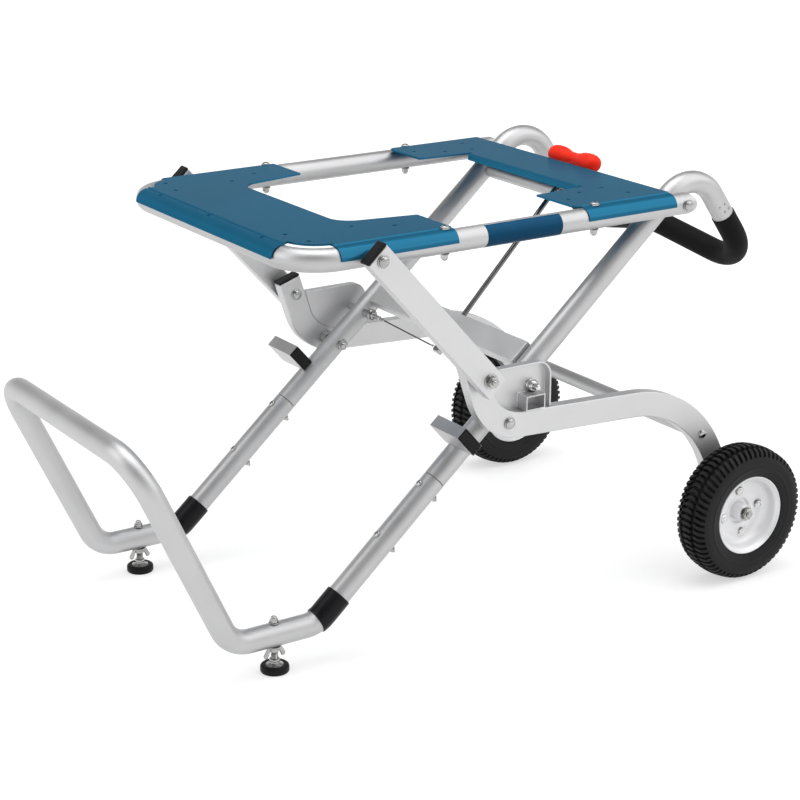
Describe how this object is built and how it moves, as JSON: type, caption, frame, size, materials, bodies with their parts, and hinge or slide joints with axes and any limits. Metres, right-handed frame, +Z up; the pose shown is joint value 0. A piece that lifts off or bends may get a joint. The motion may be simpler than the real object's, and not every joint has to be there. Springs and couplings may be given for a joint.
{
  "type": "folding saw stand",
  "caption": "Wheeled folding saw stand: bent-tube table with rolled sheet plates on crossed legs, with link arms, drop handle, release grip and levelling feet.",
  "frame": {"origin": "floor point under the middle of the bounding box", "axes": "+X from the foot bar to the wheels and handle, +Y across the stand, +Z up"},
  "size_m": [1.078, 0.662, 0.6179],
  "materials": {
    "alloy": "satin anodised",
    "steel": "zinc plated",
    "blue_sheet": "blue powder coat",
    "black_plastic": "matt black",
    "grip_rubber": "matt black",
    "red_plastic": "glossy red",
    "rim_paint": "silver paint",
    "tyre": "black rubber"
  },
  "bodies": {
    "leg_frame": {"leg_handle_tube": "alloy", "handle_grip": "grip_rubber", "foot_bar": "alloy", "leg_cross_bar": "alloy", "top_cross_tube": "alloy", "rod_guide": "steel", "lower_leg_l": "alloy", "lower_leg_r": "alloy", "leg_collar_l": "grip_rubber", "leg_collar_r": "grip_rubber", "wing_nut_l": "steel", "wing_nut_r": "steel", "stop_stub_l": "alloy", "stop_stub_r": "alloy", "stop_cap_in_l": "black_plastic", "stop_cap_in_r": "black_plastic", "stop_cap_out_l": "black_plastic", "stop_cap_out_r": "black_plastic", "lock_housing_l": "steel", "lock_housing_r": "steel", "table_pivot_l": "steel", "table_pivot_r": "steel", "arm_pivot_l": "steel", "arm_pivot_r": "steel"},
    "table": {"table_rail": "alloy", "front_plate": "blue_sheet", "rear_plate": "blue_sheet", "link_pivot_l": "steel", "link_pivot_r": "steel"},
    "link_left": {"link_l": "alloy", "link_cap_l": "black_plastic", "link_low_bolt_l": "steel"},
    "link_right": {"link_r": "alloy", "link_cap_r": "black_plastic", "link_low_bolt_r": "steel"},
    "wheel_frame": {"arm_cross_tube": "alloy", "wheel_arm_l": "alloy", "wheel_arm_r": "alloy", "arm_cap_l": "black_plastic", "arm_cap_r": "black_plastic", "web_plate_l": "alloy", "web_plate_r": "alloy", "lock_pin_end_l": "steel", "lock_pin_end_r": "steel", "arm_link_seat_l": "steel", "arm_link_seat_r": "steel", "axle_l": "steel", "axle_r": "steel"},
    "wheel_left": {"tyre_l": "tyre", "rim_l": "rim_paint"},
    "wheel_right": {"tyre_r": "tyre", "rim_r": "rim_paint"},
    "release": {"release_grip": "red_plastic", "release_rod": "steel", "release_cable_l": "steel", "release_cable_r": "steel"},
    "lock_left": {"lock_pin_l": "steel"},
    "lock_right": {"lock_pin_r": "steel"},
    "foot_left": {"level_foot_l": "grip_rubber"},
    "foot_right": {"level_foot_r": "grip_rubber"}
  },
  "joints": [
    {"name": "fold", "type": "hinge", "parent": "leg_frame", "child": "wheel_frame", "pos_m": [0.03262, 0, 0.30789], "axis": [0, 1, 0], "range_deg": [0, 120]},
    {"name": "table_fold", "type": "hinge", "parent": "leg_frame", "child": "table", "pos_m": [0.34429, 0, 0.57978], "axis": [0, 1, 0], "range_deg": [-27.33, 0]},
    {"name": "link_left_turn", "type": "hinge", "parent": "table", "child": "link_left", "pos_m": [-0.19342, -0.2755, 0.57978], "axis": [0, 1, 0], "range_deg": [-16.57, 0]},
    {"name": "link_right_turn", "type": "hinge", "parent": "table", "child": "link_right", "pos_m": [-0.19342, 0.2755, 0.57978], "axis": [0, 1, 0], "range_deg": [-16.57, 0]},
    {"name": "wheel_left_spin", "type": "hinge", "parent": "wheel_frame", "child": "wheel_left", "pos_m": [0.43505, -0.3, 0.104], "axis": [0, 1, 0], "continuous": true},
    {"name": "wheel_right_spin", "type": "hinge", "parent": "wheel_frame", "child": "wheel_right", "pos_m": [0.43505, 0.3, 0.104], "axis": [0, 1, 0], "continuous": true},
    {"name": "release_pull", "type": "slide", "parent": "leg_frame", "child": "release", "axis": [0.6957, 0, 0.7184], "range_m": [0, 0.018], "stiffness_N_per_m": 600, "springref_m": -0.004, "deforming": ["release_cable_l", "release_cable_r"]},
    {"name": "lock_left_slide", "type": "slide", "parent": "leg_frame", "child": "lock_left", "axis": [0, 1, 0], "range_m": [0, 0.01]},
    {"name": "lock_right_slide", "type": "slide", "parent": "leg_frame", "child": "lock_right", "axis": [0, -1, 0], "range_m": [0, 0.01]},
    {"name": "foot_left_screw", "type": "slide", "parent": "leg_frame", "child": "foot_left", "axis": [0, 0, 1], "range_m": [0, 0.006]},
    {"name": "foot_right_screw", "type": "slide", "parent": "leg_frame", "child": "foot_right", "axis": [0, 0, 1], "range_m": [0, 0.006]}
  ],
  "couplings": [
    {"joint": "table_fold", "follows": "fold", "ratio": -0.22767},
    {"joint": "link_left_turn", "follows": "fold", "ratio": -0.13796},
    {"joint": "link_right_turn", "follows": "fold", "ratio": -0.13796},
    {"joint": "lock_left_slide", "follows": "release_pull", "ratio": 0.5555},
    {"joint": "lock_right_slide", "follows": "release_pull", "ratio": 0.5555}
  ]
}
